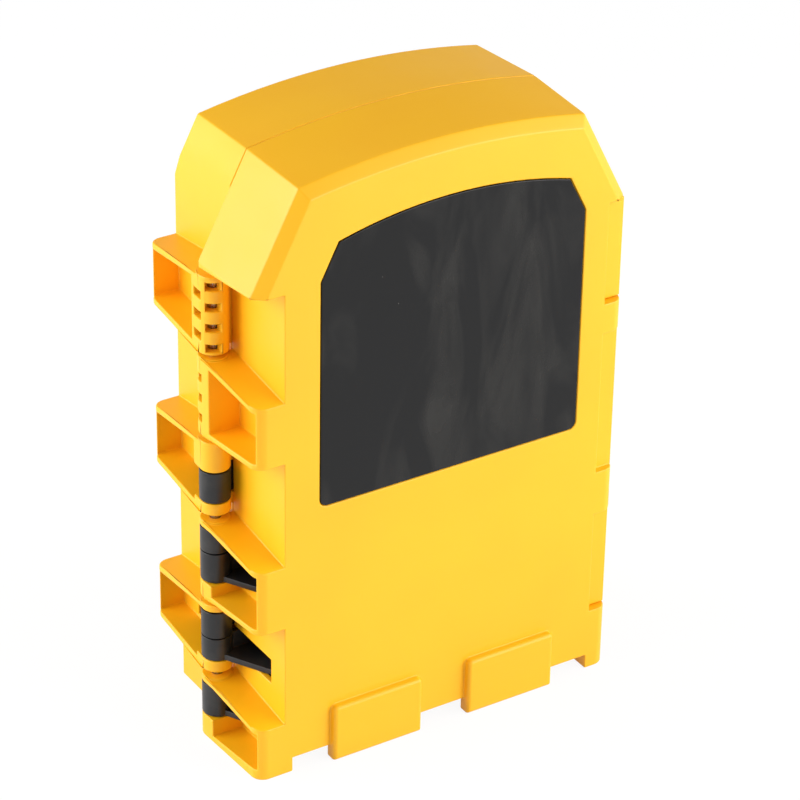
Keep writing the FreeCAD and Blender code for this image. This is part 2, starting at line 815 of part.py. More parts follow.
def make_knuckle(body, name, outward, bottom, top):
    near = sheet.rack_gap * -outward
    far = sheet.barrel_radius * -outward
    reach = sheet.arm_reach * -outward
    pad(body, circle(body, name, bottom, axis_x, ZERO, sheet.barrel_radius), top - bottom)
    strap_end = sheet.rack_gap + sheet.rack_plate
    strap = rectangle(body, name + "_strap", "XY_Plane", bottom, (axis_x, min_of(near, strap_end * -outward)),
                      (rack_left + sheet.wall, max_of(near, strap_end * -outward)))
    pad(body, strap, top - bottom)
    foot = rack_left + sheet.gusset_foot
    points = [(axis_x, near), (axis_x, far), (rack_left, reach), (foot, reach), (foot, near)]
    if outward == REAR:
        points = points[::-1]
    pad(body, outline(body, name + "_gusset", "XY_Plane", bottom, points), sheet.gusset_height)


# Bits

def bound(kind, name, sizes, x, y, z, rotation=FreeCAD.Rotation()):
    """A primitive whose sizes and place follow the sheet."""
    item = doc.addObject(kind, name)
    for key, size in sizes.items():
        setattr(item, key, size.value)
        item.setExpression(key, size.text)
    item.Placement = FreeCAD.Placement(FreeCAD.Vector(), rotation)
    for axis, size in (("x", x), ("y", y), ("z", z)):
        item.setExpression("Placement.Base." + axis, size.text)
    return item


def prism(name, sides, radius, height, x, y, z, turn=0):
    """An upright prism on a regular outline, turned about its axis by some degrees."""
    rotation = FreeCAD.Rotation(UP, turn)
    item = bound("Part::Prism", name, {"Circumradius": radius, "Height": height}, x, y, z, rotation)
    item.Polygon = sides
    return item


def rod(name, radius, height, x, y, z):
    """A round bar, drawn with a few flat sides."""
    return prism(name, ROUND_SIDES, radius, height, x, y, z)


def blade(name, low, high, height, x, y, z, turn=0):
    """A flat blade whose width and thickness, given as pairs, narrow upwards."""
    sizes = {"Ymin": ZERO, "Ymax": height}
    for key, (width, thickness) in (("", low), ("2", high)):
        sizes["X" + key + "min"] = -width / 2
        sizes["X" + key + "max"] = width / 2
        sizes["Z" + key + "min"] = -thickness / 2
        sizes["Z" + key + "max"] = thickness / 2
    upright = FreeCAD.Rotation(UP, turn).multiply(FreeCAD.Rotation(ACROSS, QUARTER_TURN))
    return bound("Part::Wedge", name, sizes, x, y, z, upright)


def shank(name, x, y, z, length):
    return prism(name + "_shank", 6, shank_radius, length, x, y, z)


def fused(name, pieces):
    bit = doc.addObject("Part::MultiFuse", name)
    bit.Shapes = pieces
    bit.Refine = True
    return bit


def cross_tip(name, x, y, z):
    """Two crossed blades that taper to the point."""
    low = (sheet.tip_radius * 2, sheet.wing_thickness)
    high = (sheet.tip_end_width, sheet.wing_thickness)
    return [blade(name + "_wing_" + str(turn), low, high, tip_length, x, y, z, turn)
            for turn in (0, QUARTER_TURN)]


def cross_bit(name, x, y, z):
    tip = cross_tip(name, x, y, z + sheet.short_shank)
    return fused(name, [shank(name, x, y, z, sheet.short_shank)] + tip)


def star_bit(name, x, y, z):
    """A hexagon bit whose tip is a six-pointed star."""
    sixth_turn = 60
    tip_z = z + sheet.short_shank
    lobes = [prism(name + "_lobe_" + str(turn), 3, sheet.tip_radius, tip_length, x, y, tip_z, turn)
             for turn in (0, sixth_turn)]
    return fused(name, [shank(name, x, y, z, sheet.short_shank)] + lobes)


def slotted_bit(name, x, y, z):
    low = (sheet.tip_radius * 2, sheet.tip_radius * 2)
    high = (sheet.tip_radius * 2, sheet.slot_tip_thickness)
    return fused(name, [shank(name, x, y, z, sheet.short_shank),
                        blade(name + "_blade", low, high, tip_length, x, y, z + sheet.short_shank)])


def hex_key_bit(name, x, y, z):
    length = sheet.long_bit - sheet.short_shank
    key = prism(name + "_key", 6, sheet.tip_radius, length, x, y, z + sheet.short_shank)
    return fused(name, [shank(name, x, y, z, sheet.short_shank), key])


def long_bit(name, x, y, z):
    """A longer bit with a round neck below its cross tip."""
    neck_z = z + sheet.short_shank
    neck = sheet.long_bit - sheet.short_bit
    return fused(name, [shank(name, x, y, z, sheet.short_shank),
                        rod(name + "_neck", sheet.tip_radius, neck, x, y, neck_z)]
                 + cross_tip(name, x, y, neck_z + neck))


def twist_drill(name, x, y, z, grade):
    radius = (sheet.smallest_drill + sheet.drill_step * grade) / 2
    length = sheet.shortest_drill + sheet.drill_length_step * grade - sheet.drill_shank
    rod_z = z + sheet.drill_shank
    rise_share = 0.6
    chisel_share = 0.15
    edge = radius * square_share
    point = blade(name + "_point", (edge, edge), (edge, edge * chisel_share), radius * rise_share, x, y,
                  rod_z + length)
    return fused(name, [shank(name, x, y, z, sheet.drill_shank),
                        rod(name + "_rod", radius, length, x, y, rod_z), point])


def masonry_drill(name, x, y, z, grade):
    """A drill with a wide hard tip set across its end."""
    length = sheet.masonry_length + sheet.drill_length_step * grade - sheet.drill_shank
    rod_z = z + sheet.drill_shank
    tip = (sheet.masonry_tip_width, sheet.masonry_tip_thickness)
    return fused(name, [shank(name, x, y, z, sheet.drill_shank),
                        rod(name + "_rod", sheet.masonry_radius, length, x, y, rod_z),
                        blade(name + "_tip", tip, tip, sheet.masonry_tip_height, x, y,
                              rod_z + length - sheet.masonry_tip_height / 2)])


def cupped_bit(name, x, y, z, radius, length, hexagon_radius, depth_share):
    """A hexagon shank that carries a round sleeve with a hexagon hole in its end."""
    sleeve_z = z + sheet.short_shank
    depth = length * depth_share
    whole = fused(name + "_whole", [shank(name, x, y, z, sheet.short_shank),
                                    rod(name + "_sleeve", radius, length, x, y, sleeve_z)])
    cut = doc.addObject("Part::Cut", name)
    cut.Base = whole
    cut.Tool = prism(name + "_hexagon", 6, hexagon_radius, depth, x, y, sleeve_z + length - depth)
    return cut


def nut_driver(name, x, y, z):
    depth_share = 0.5
    return cupped_bit(name, x, y, z, sheet.nut_driver_radius, sheet.nut_driver_length, sheet.nut_driver_bore,
                      depth_share)


def bit_holder(name, x, y, z):
    depth_share = 0.4
    return cupped_bit(name, x, y, z, sheet.holder_radius, sheet.holder_length, socket_radius, depth_share)


def wood_bit(name, x, y, z, grade):
    """A flat wood bit: a stem and a wide blade."""
    stem_z = z + sheet.short_shank
    wide = (sheet.spade_width + sheet.drill_step * grade, sheet.spade_thickness)
    return fused(name, [shank(name, x, y, z, sheet.short_shank),
                        prism(name + "_stem", 6, sheet.spade_stem_radius, sheet.spade_stem, x, y, stem_z),
                        blade(name + "_blade", wide, wide, sheet.spade_height, x, y,
                              stem_z + sheet.spade_stem)])


def countersink(name, x, y, z):
    """A fluted head, as two square points turned across each other, on a round neck."""
    eighth_turn = 45
    neck_z = z + sheet.short_shank
    wide = sheet.countersink_radius * square_share
    narrow = sheet.tip_end_width
    head = [blade(name + "_head_" + str(turn), (wide, wide), (narrow, narrow), sheet.countersink_height, x, y,
                  neck_z + sheet.countersink_neck, turn) for turn in (0, eighth_turn)]
    return fused(name, [shank(name, x, y, z, sheet.short_shank),
                        rod(name + "_neck", sheet.tip_radius, sheet.countersink_neck, x, y, neck_z)] + head)


def row_of(label, maker, outward, bar, places, graded=False):
    """Bits of one kind in some places of a bar, on the floors of its sockets: separate solids in one node."""
    z = bar + sheet.bar_height - sheet.socket_depth
    bits = []
    for index, place in enumerate(places):
        x = first_socket + sheet.socket_pitch * place
        grade = [index] if graded else []
        bits.append(maker(label + "_" + str(index + 1), x, socket_y * -outward, z, *grade))
    group = doc.addObject("Part::Compound", label)
    group.Label = label
    group.Links = bits
    return group


def make_bits():
    half_row = SOCKETS // 2
    return [
        row_of("cross_tip_bits", cross_bit, FRONT, sheet.front_low_bar, range(SOCKETS)),
        row_of("star_tip_bits", star_bit, FRONT, sheet.front_mid_bar, range(SOCKETS)),
        row_of("slotted_bits", slotted_bit, FRONT, sheet.front_high_bar, range(half_row)),
        row_of("hex_key_bits", hex_key_bit, FRONT, sheet.front_high_bar, range(half_row, SOCKETS)),
        row_of("twist_drills", twist_drill, REAR, sheet.rear_low_bar, range(6), graded=True),
        row_of("masonry_drills", masonry_drill, REAR, sheet.rear_low_bar, range(6, 9), graded=True),
        row_of("countersink", countersink, REAR, sheet.rear_low_bar, range(9, SOCKETS)),
        row_of("nut_drivers", nut_driver, REAR, sheet.rear_high_bar, range(3)),
        row_of("long_driver_bits", long_bit, REAR, sheet.rear_high_bar, range(3, 6)),
        row_of("bit_holder", bit_holder, REAR, sheet.rear_high_bar, range(6, 7)),
        row_of("flat_wood_bits", wood_bit, REAR, sheet.rear_high_bar, range(7, SOCKETS), graded=True),
    ]


def check(bodies):
    """Stop if anything in the document failed, a cut took nothing away or a piece isn't a sound solid."""
    doc.recompute()
    for item in doc.Objects:
        if "Invalid" in item.State or "Error" in item.State:
            raise ValueError(item.Name + " failed: " + str(item.State))
        if item.TypeId == "PartDesign::Pocket":
            if item.Shape.Volume >= item.BaseFeature.Shape.Volume:
                raise ValueError(item.Name + " cuts nothing")
    for body in bodies:
        if body.Shape.isNull() or not body.Shape.isValid() or not body.Shape.Solids:
            raise ValueError(body.Label + " isn't a sound solid")


def main():
    front = make_front_shell()
    rear = make_rear_shell()
    recess = label_outline(front, "front_shell_label", sheet.front_depth - sheet.label_thickness,
                           sheet.label_clearance)
    pocket(front, recess, sheet.label_thickness + sheet.overrun, 1)
    latch_seats(rear, front)
    hold = sheet.latch_pin_hold
    pieces = [
        front,
        rear,
        make_label(),
        make_pin("hinge_pin", axis_x, ZERO, sheet.pin_radius, sheet.pin_bottom, sheet.pin_top),
        make_rack("front_bit_rack", FRONT, (sheet.front_low_bar, sheet.front_mid_bar, sheet.front_high_bar),
                  ((sheet.front_low_knuckle, front_low_knuckle_top),
                   (sheet.front_mid_knuckle, sheet.front_mid_knuckle_top),
                   (sheet.front_high_knuckle, sheet.front_high_knuckle_top)),
                  (sheet.front_low_bar + sheet.slot_height, sheet.front_mid_bar + sheet.slot_height,
                   sheet.front_high_bar + sheet.slot_height)),
        make_rack("rear_bit_rack", REAR, (sheet.rear_low_bar, sheet.rear_high_bar),
                  ((sheet.rear_low_knuckle, rear_low_knuckle_top),
                   (sheet.rear_mid_knuckle, rear_mid_knuckle_top),
                   (sheet.rear_high_knuckle, sheet.rear_high_knuckle_top)),
                  (sheet.rear_low_bar + sheet.slot_height, sheet.rear_high_bar + sheet.slot_height)),
        make_latch("lower_latch", sheet.low_recess_bottom, sheet.low_recess_top),
        make_latch("upper_latch", sheet.high_recess_bottom, sheet.high_recess_top),
        make_pin("lower_latch_pin", latch_x, latch_y, sheet.latch_pin_radius,
                 sheet.low_recess_bottom - hold, sheet.low_recess_top + hold),
        make_pin("upper_latch_pin", latch_x, latch_y, sheet.latch_pin_radius,
                 sheet.high_recess_bottom - hold, sheet.high_recess_top + hold),
    ]
    pieces += make_bits()
    check(pieces)
    os.makedirs("parts", exist_ok=True)
    for piece in pieces:
        piece.Shape.exportStep("parts/" + piece.Label + ".step")
        print(piece.Label, len(piece.Shape.Solids), round(piece.Shape.Volume))


main()
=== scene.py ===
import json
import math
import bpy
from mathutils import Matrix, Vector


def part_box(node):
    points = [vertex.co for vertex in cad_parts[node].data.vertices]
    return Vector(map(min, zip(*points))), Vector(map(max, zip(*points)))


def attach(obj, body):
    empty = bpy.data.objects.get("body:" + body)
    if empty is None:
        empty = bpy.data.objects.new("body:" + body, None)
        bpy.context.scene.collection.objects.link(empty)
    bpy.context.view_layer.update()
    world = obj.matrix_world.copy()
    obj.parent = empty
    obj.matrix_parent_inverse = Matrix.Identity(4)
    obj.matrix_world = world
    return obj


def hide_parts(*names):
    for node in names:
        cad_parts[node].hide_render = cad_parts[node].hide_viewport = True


bl_info = {
    "name": "Bit Case",
    "version": (1, 0, 0),
    "blender": (4, 5, 0),
    "location": "View3D > Sidebar > Bit Case",
    "description": "Dresses the solids of a hinged bit case with moulded edges, drive tips and finishes",
    "category": "Object",
}

import bmesh
import bpy
from mathutils import Matrix, Vector

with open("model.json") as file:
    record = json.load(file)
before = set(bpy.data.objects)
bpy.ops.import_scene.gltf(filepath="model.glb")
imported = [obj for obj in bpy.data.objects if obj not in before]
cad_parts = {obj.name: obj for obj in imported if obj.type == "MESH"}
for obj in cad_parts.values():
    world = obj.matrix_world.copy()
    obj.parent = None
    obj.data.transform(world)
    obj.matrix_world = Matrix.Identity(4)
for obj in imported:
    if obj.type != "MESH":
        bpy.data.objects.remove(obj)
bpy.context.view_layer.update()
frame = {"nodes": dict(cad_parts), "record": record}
record = frame["record"]

MM = 0.001
SIXTH_TURN = math.radians(60)
QUARTER_TURN = math.radians(90)


def linear(code):
    """An sRGB hex code as linear red, green and blue."""
    channels = [int(code[place:place + 2], 16) / 255 for place in (1, 3, 5)]
    return [c / 12.92 if c <= 0.04045 else ((c + 0.055) / 1.055) ** 2.4 for c in channels]


def colour(name, description, code):
    return bpy.props.FloatVectorProperty(name=name, description=description, subtype="COLOR", size=3,
                                         min=0, max=1, default=linear(code))


def length(name, description, default):
    return bpy.props.FloatProperty(name=name, description=description, unit="LENGTH", min=0, precision=5,
                                   default=default)


def angle(name, description, degrees):
    return bpy.props.FloatProperty(name=name, description=description, subtype="ANGLE",
                                   default=math.radians(degrees))


class BitCaseColours(bpy.types.PropertyGroup):
    shell: colour("Shell", "Moulded yellow of the shells and latches", "#FEBE0C")
    shell_shade: colour("Shell shade", "Yellow where the moulding flowed slower", "#FAB206")
    speck: colour("Speck", "Burnt specks in the moulded yellow", "#6B4A12")
    rack: colour("Rack", "Moulded black of the bit racks", "#1B1B1D")
    label: colour("Label", "Gloss black of the label", "#0C0C0D")
    dust: colour("Dust", "Dust that lies on the black pieces", "#8C887F")
    bit: colour("Bit", "Grey of phosphated bit steel", "#9C9DA0")
    drill: colour("Drill", "Dark grey of rolled drill steel", "#86868A")
    pin: colour("Pin", "Bright drawn wire of the pins", "#B9B8B4")
    floor: colour("Floor", "Pale studio floor", "#DEDEDE")


class BitCaseSizes(bpy.types.PropertyGroup):
    shell_edge: length("Shell edge", "Radius left on the moulded edges of the shells", 0.5 * MM)
    rack_edge: length("Rack edge", "Radius left on the moulded edges of the racks", 0.3 * MM)
    label_edge: length("Label edge", "Radius round the face of the label", 0.35 * MM)
    pin_edge: length("Pin edge", "Bevel on the ends of the pins", 0.25 * MM)
    bump_edge: length("Bump edge", "Radius round the faces of the two low bumps", 1.6 * MM)
    grain: length("Grain", "Spacing of the moulded grain", 0.9 * MM)
    flute_lead: length("Flute lead", "Height in which a drill's flutes turn once", 24 * MM)
    rib_pitch: length("Rib pitch", "Spacing of the thumb ribs on the latches", 2.2 * MM)


class BitCaseStage(bpy.types.PropertyGroup):
    azimuth: angle("Azimuth", "How far the camera stands to the left of the face", 32.76)
    elevation: angle("Elevation", "How far the camera looks down", 29.83)
    roll: angle("Roll", "How far the camera is tipped", 1.07)
    distance: length("Distance", "From the camera to the point that it looks at", 1.29313)
    lens: bpy.props.FloatProperty(name="Lens", description="Focal length in millimetres", default=156.6)
    target: bpy.props.FloatVectorProperty(name="Target", description="Point that the camera looks at",
                                          subtype="TRANSLATION", default=(0.00476, -0.0002, 0.12095))
    key_power: bpy.props.FloatProperty(name="Key", description="Power of the lamp behind the hinge side",
                                       unit="POWER", default=20)
    fill_power: bpy.props.FloatProperty(name="Fill", description="Power of the lamp before the latch side",
                                        unit="POWER", default=20)
    ambient: bpy.props.FloatProperty(name="Ambient", description="Strength of the light from all round",
                                     default=0.5)


def colours():
    return bpy.context.scene.bit_case_colours


def sizes():
    return bpy.context.scene.bit_case_sizes


# Materials

# Numbers of a Mix node's colour sockets, whose names its other sockets have too
FACTOR, UNDER, OVER, BLEND = 0, 6, 7, 2


def add(tree, kind, inputs=None, **settings):
    """Add a node, set its properties, and fill its inputs with values or other nodes' outputs."""
    made = tree.nodes.new(kind)
    for key, value in settings.items():
        setattr(made, key, value)
    for key, value in (inputs or {}).items():
        socket = made.inputs[key]
        if isinstance(value, bpy.types.NodeSocket):
            tree.links.new(value, socket)
        else:
            socket.default_value = value
    return made


def opaque(rgb):
    return (*rgb, 1)


def new_material(name, **constants):
    """A material with one shader, whose even values are set on the shader itself."""
    made = bpy.data.materials.new(name)
    made.use_nodes = True
    tree = made.node_tree
    shader = tree.nodes["Principled BSDF"]
    for key, value in constants.items():
        shader.inputs[key.replace("_", " ")].default_value = value
    where = add(tree, "ShaderNodeTexCoord").outputs["Object"]
    return made, tree, shader, where


def specks(tree, where, spacing, size, share):
    """A mask of small spots, at most one to each cell of a grid, in some share of the cells."""
    cells = add(tree, "ShaderNodeTexVoronoi", {"Vector": where, "Scale": 1 / spacing})
    spot = add(tree, "ShaderNodeMath", {0: cells.outputs["Distance"], 1: size / spacing},
               operation="LESS_THAN")
    drawn = add(tree, "ShaderNodeSeparateColor", {"Color": cells.outputs["Color"]})
    chosen = add(tree, "ShaderNodeMath", {0: drawn.outputs["Red"], 1: share}, operation="LESS_THAN")
    both = add(tree, "ShaderNodeMath", {0: spot.outputs[0], 1: chosen.outputs[0]}, operation="MULTIPLY")
    return both.outputs[0]


def grained(tree, shader, where, strength):
    """Give a shader the sparked grain of a mould, drawn coarser than the real 0.15 mm or so, to show."""
    depth = 0.2 * MM
    grain = add(tree, "ShaderNodeTexNoise", {"Vector": where, "Scale": 1 / sizes().grain, "Detail": 3.0})
    bump = add(tree, "ShaderNodeBump", {"Height": grain.outputs[0], "Strength": strength, "Distance": depth})
    tree.links.new(bump.outputs[0], shader.inputs["Normal"])


def yellow_abs():
    """Injection-moulded ABS with a fine sparked grain: a satin yellow with soft, broad highlights."""
    patch_size, gloss_size = 60 * MM, 25 * MM
    speck_strength = 0.6
    made, tree, shader, where = new_material("moulded yellow ABS", IOR=1.53)
    flow = add(tree, "ShaderNodeTexNoise", {"Vector": where, "Scale": 1 / patch_size, "Detail": 2.0})
    patch = add(tree, "ShaderNodeMapRange", {"Value": flow.outputs[0], "From Min": 0.35, "From Max": 0.75,
                                             "To Min": 0.0, "To Max": 0.5})
    tint = add(tree, "ShaderNodeMix", {FACTOR: patch.outputs[0], UNDER: opaque(colours().shell),
                                       OVER: opaque(colours().shell_shade)}, data_type="RGBA")
    spots = specks(tree, where, spacing=16 * MM, size=0.35 * MM, share=0.05)
    faint = add(tree, "ShaderNodeMath", {0: spots, 1: speck_strength}, operation="MULTIPLY")
    speckled = add(tree, "ShaderNodeMix", {FACTOR: faint.outputs[0], UNDER: tint.outputs[BLEND],
                                           OVER: opaque(colours().speck)}, data_type="RGBA")
    tree.links.new(speckled.outputs[BLEND], shader.inputs["Base Color"])
    gloss = add(tree, "ShaderNodeTexNoise", {"Vector": where, "Scale": 1 / gloss_size, "Detail": 4.0})
    rough = add(tree, "ShaderNodeMapRange", {"Value": gloss.outputs[0], "From Min": 0.3, "From Max": 0.7,
                                             "To Min": 0.4, "To Max": 0.5})
    tree.links.new(rough.outputs[0], shader.inputs["Roughness"])
    grained(tree, shader, where, 0.08)
    return made


def black_polypropylene():
    """Injection-moulded polypropylene: a satin black that greys at glancing angles, with a little dust."""
    dust_size = 9 * MM
    made, tree, shader, where = new_material("moulded black polypropylene", IOR=1.49)
    dust = add(tree, "ShaderNodeTexNoise", {"Vector": where, "Scale": 1 / dust_size, "Detail": 6.0})
    film = add(tree, "ShaderNodeMapRange", {"Value": dust.outputs[0], "From Min": 0.45, "From Max": 0.85,
                                            "To Min": 0.0, "To Max": 0.12})
    tint = add(tree, "ShaderNodeMix", {FACTOR: film.outputs[0], UNDER: opaque(colours().rack),
                                       OVER: opaque(colours().dust)}, data_type="RGBA")
    tree.links.new(tint.outputs[BLEND], shader.inputs["Base Color"])
    rough = add(tree, "ShaderNodeMapRange", {"Value": dust.outputs[0], "From Min": 0.3, "From Max": 0.7,
                                             "To Min": 0.32, "To Max": 0.46})
    tree.links.new(rough.outputs[0], shader.inputs["Roughness"])
    grained(tree, shader, where, 0.12)
    return made


def gloss_label():
    """Gloss black polycarbonate film: mirror-like, with faint wiped smudges and settled dust."""
    smudge_size = 22 * MM
    speck_strength = 0.35
    made, tree, shader, where = new_material("gloss black polycarbonate", IOR=1.58, Specular_IOR_Level=0.25)
    wiped = add(tree, "ShaderNodeMapping", {"Vector": where, "Rotation": (0, 0.7, 0), "Scale": (1, 1, 0.35)})
    smudge = add(tree, "ShaderNodeTexNoise", {"Vector": wiped.outputs[0], "Scale": 1 / smudge_size,
                                              "Detail": 5.0, "Distortion": 1.2})
    film = add(tree, "ShaderNodeMapRange", {"Value": smudge.outputs[0], "From Min": 0.45, "From Max": 0.75,
                                            "To Min": 0.0, "To Max": 0.07})
    tint = add(tree, "ShaderNodeMix", {FACTOR: film.outputs[0], UNDER: opaque(colours().label),
                                       OVER: opaque(colours().dust)}, data_type="RGBA")
    spots = specks(tree, where, spacing=7 * MM, size=0.22 * MM, share=0.22)
    faint = add(tree, "ShaderNodeMath", {0: spots, 1: speck_strength}, operation="MULTIPLY")
    speckled = add(tree, "ShaderNodeMix", {FACTOR: faint.outputs[0], UNDER: tint.outputs[BLEND],
                                           OVER: opaque(colours().dust)}, data_type="RGBA")
    tree.links.new(speckled.outputs[BLEND], shader.inputs["Base Color"])
    rough = add(tree, "ShaderNodeMapRange", {"Value": smudge.outputs[0], "From Min": 0.35, "From Max": 0.8,
                                             "To Min": 0.12, "To Max": 0.34})
    tree.links.new(rough.outputs[0], shader.inputs["Roughness"])
    return made


def bit_steel(name, rgb, grit, low, high):
    """Hardened steel with lengthways marks, drawn coarser than real grit, so that the streaks show."""
    dark = [0.6 * channel for channel in rgb]
    made, tree, shader, where = new_material(name, Metallic=1.0)
    along = add(tree, "ShaderNodeMapping", {"Vector": where, "Scale": (1, 1, 0.25)})
    marks = add(tree, "ShaderNodeTexNoise", {"Vector": along.outputs[0], "Scale": 1 / grit, "Detail": 4.0})
    shade = add(tree, "ShaderNodeMapRange", {"Value": marks.outputs[0], "From Min": 0.3, "From Max": 0.7,
                                             "To Min": 0.0, "To Max": 0.35})
    tint = add(tree, "ShaderNodeMix", {FACTOR: shade.outputs[0], UNDER: opaque(rgb), OVER: opaque(dark)},
               data_type="RGBA")
    tree.links.new(tint.outputs[BLEND], shader.inputs["Base Color"])
    rough = add(tree, "ShaderNodeMapRange", {"Value": marks.outputs[0], "From Min": 0.3, "From Max": 0.7,
                                             "To Min": low, "To Max": high})
    tree.links.new(rough.outputs[0], shader.inputs["Roughness"])
    bump = add(tree, "ShaderNodeBump", {"Height": marks.outputs[0], "Strength": 0.1, "Distance": 0.05 * MM})
    tree.links.new(bump.outputs[0], shader.inputs["Normal"])
    return made


def phosphated_steel():
    """Turned and phosphated tool steel: a dull mid grey."""
    return bit_steel("phosphated bit steel", colours().bit, 1.2 * MM, 0.38, 0.55)


def rolled_steel():
    """Rolled and tempered drill steel: darker and a little shinier than the bits."""
    return bit_steel("rolled drill steel", colours().drill, 0.8 * MM, 0.25, 0.42)


def drawn_wire():
    """Drawn steel wire: pale and bright."""
    return bit_steel("drawn steel wire", colours().pin, 0.6 * MM, 0.22, 0.36)


FINISHES = {
    "yellow_plastic": yellow_abs,
    "black_plastic": black_polypropylene,
    "label_gloss": gloss_label,
    "bit_steel": phosphated_steel,
    "drill_steel": rolled_steel,
    "pin_steel": drawn_wire,
}
made_finishes = {}


def finish(slot):
    """The material of one slot of the record, made once."""
    if slot not in made_finishes:
        made_finishes[slot] = FINISHES[slot]()
    return made_finishes[slot]


# Pieces

MOULDED_CREASE = math.radians(50)
TURNED_CREASE = math.radians(35)


def body_of(node):
    return next(body for body, nodes in record["behaviour"]["bodies"].items() if node in nodes)


def slot_of(node):
    return next(part["material_slot"] for part in record["subparts"] if part["node"] == node)


def new_object(name, data):
    piece = bpy.data.objects.new(name, data)
    bpy.context.scene.collection.objects.link(piece)
    return piece


def as_mesh(shape, name):
    """A mesh of a finished shape, which is freed."""
    mesh = bpy.data.meshes.new(name)
    shape.to_mesh(mesh)
    shape.free()
    return mesh


def stand_for(piece, node):
    """Let a piece move with a node's body and show in its place, with its finish."""
    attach(piece, body_of(node))
    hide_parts(node)


def baked(piece):
    """Turn what a piece's modifiers give into its own plain mesh."""
    graph = bpy.context.evaluated_depsgraph_get()
    mesh = bpy.data.meshes.new_from_object(piece.evaluated_get(graph))
    piece.modifiers.clear()
    piece.data = mesh


def soften(piece, crease):
    """Smooth the shading over turns below a crease angle, with flat faces kept flat."""
    piece.data.shade_smooth()
    piece.data.set_sharp_from_angle(angle=crease)
    weights = piece.modifiers.new("Face weights", "WEIGHTED_NORMAL")
    weights.keep_sharp = True
    baked(piece)


def slab(shape, profile, near, far):
    """Add a closed plate to a shape, from a profile of X and Z between two depths."""
    front, back = ([shape.verts.new((x, y, z)) for x, z in profile] for y in (near, far))
    shape.faces.new(front)
    shape.faces.new(back[::-1])
    for index in range(len(profile)):
        after = (index + 1) % len(profile)
        shape.faces.new((front[after], front[index], back[index], back[after]))


def round_bumps(shape):
    """Round the faces of the two bumps low on the front shell, in rings that follow a quarter circle."""
    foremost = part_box("front_shell")[0].y
    near = 0.1 * MM
    least_area = 100 * MM * MM
    radius = sizes().bump_edge
    rings = 4
    bumps = [face for face in shape.faces
             if abs(face.calc_center_median().y - foremost) < near and face.calc_area() > least_area]
    for bump in bumps:
        for vert in bump.verts:
            vert.co.y += radius
        for ring in range(rings):
            before, after = QUARTER_TURN * ring / rings, QUARTER_TURN * (ring + 1) / rings
            inward = radius * (math.cos(before) - math.cos(after))
            bmesh.ops.inset_region(shape, faces=[bump], thickness=inward, use_even_offset=True)
            for vert in bump.verts:
                vert.co.y -= radius * (math.sin(after) - math.sin(before))


def moulded(node, radius, *shaping):
    """A merged copy of a node, shaped further and with its edges rounded, which stands for it."""
    sliver = 0.03 * MM
    flat = math.radians(0.5)
    sharp = math.radians(35)
    shape = bmesh.new()
    shape.from_mesh(frame["nodes"][node].data)
    bmesh.ops.remove_doubles(shape, verts=shape.verts, dist=sliver)
    bmesh.ops.dissolve_degenerate(shape, dist=sliver, edges=shape.edges)
    bmesh.ops.dissolve_limit(shape, angle_limit=flat, verts=shape.verts, edges=shape.edges)
    bmesh.ops.connect_verts_concave(shape, faces=shape.faces)
    for step in shaping:
        step(shape)
    edges = [edge for edge in shape.edges if edge.is_manifold and edge.calc_face_angle() > sharp]
    bmesh.ops.bevel(shape, geom=edges, offset=radius, offset_type="OFFSET", segments=2, profile=0.5,
                    affect="EDGES", clamp_overlap=False)
    mesh = as_mesh(shape, node + "_moulded")
    mesh.materials.append(finish(slot_of(node)))
    piece = new_object(node + "_moulded", mesh)
    soften(piece, MOULDED_CREASE)
    stand_for(piece, node)


# Bits: each is a stack of rings, whose reach from the axis depends on the angle

# Points in a ring
POINTS = 36


def round_reach(radius):
    return lambda turn: radius


def hexagon_reach(radius):
    """A hexagon with a corner along X."""
    flat = radius * math.cos(SIXTH_TURN / 2)
    return lambda turn: flat / math.cos(turn % SIXTH_TURN - SIXTH_TURN / 2)


def cross_reach(radius, half):
    """Four wings of some half thickness."""
    least = half / radius

    def reach(turn):
        nearest = abs((turn + QUARTER_TURN / 2) % QUARTER_TURN - QUARTER_TURN / 2)
        return half / max(math.sin(nearest), least)
    return reach


def blade_reach(radius, half):
    """A slab clipped by a circle."""
    least = half / radius
    return lambda turn: half / max(abs(math.sin(turn)), least)


def star_reach(radius):
    """Six rounded lobes."""
    depth_share = 0.24
    return lambda turn: radius * (1 - depth_share * (0.5 - 0.5 * math.cos(6 * turn)))


def fluted_reach(radius, twist):
    """A drill's section with two round flutes, turned by a twist."""
    depth_share = 0.52
    flute_half = math.radians(48)

    def reach(turn):
        from_flute = abs((turn - twist) % math.pi - math.pi / 2)
        fall = max(0, 1 - (from_flute / flute_half) ** 2)
        return radius * (1 - depth_share * fall ** 0.5)
    return reach


def lofted(name, sections, points=POINTS):
    """A closed mesh through sections, each a height and a reach."""
    shape = bmesh.new()
    rings = []
    for height, reach in sections:
        ring = []
        for index in range(points):
            turn = 2 * math.pi * index / points
            far = reach(turn)
            ring.append(shape.verts.new((far * math.cos(turn), far * math.sin(turn), height)))
        rings.append(ring)
    for below, above in zip(rings, rings[1:]):
        for index in range(points):
            after = (index + 1) % points
            shape.faces.new((below[index], below[after], above[after], above[index]))
    shape.faces.new(rings[0][::-1])
    shape.faces.new(rings[-1])
    return as_mesh(shape, name)


# Radii and lengths that the bits share: a shank is 6.35 mm across its flats
SHANK = 6.35 * MM / math.sqrt(3)
SHANK_LENGTH = 15 * MM
DRILL_SHANK_LENGTH = 26 * MM
SHANK_BEVEL = 0.5 * MM
NECK = 2.4 * MM
NECK_FILLET = 0.8 * MM
TIP_LENGTH = 9 * MM
SHORT_BIT = 25 * MM
LONG_BIT = 50 * MM
SLEEVE = 5 * MM


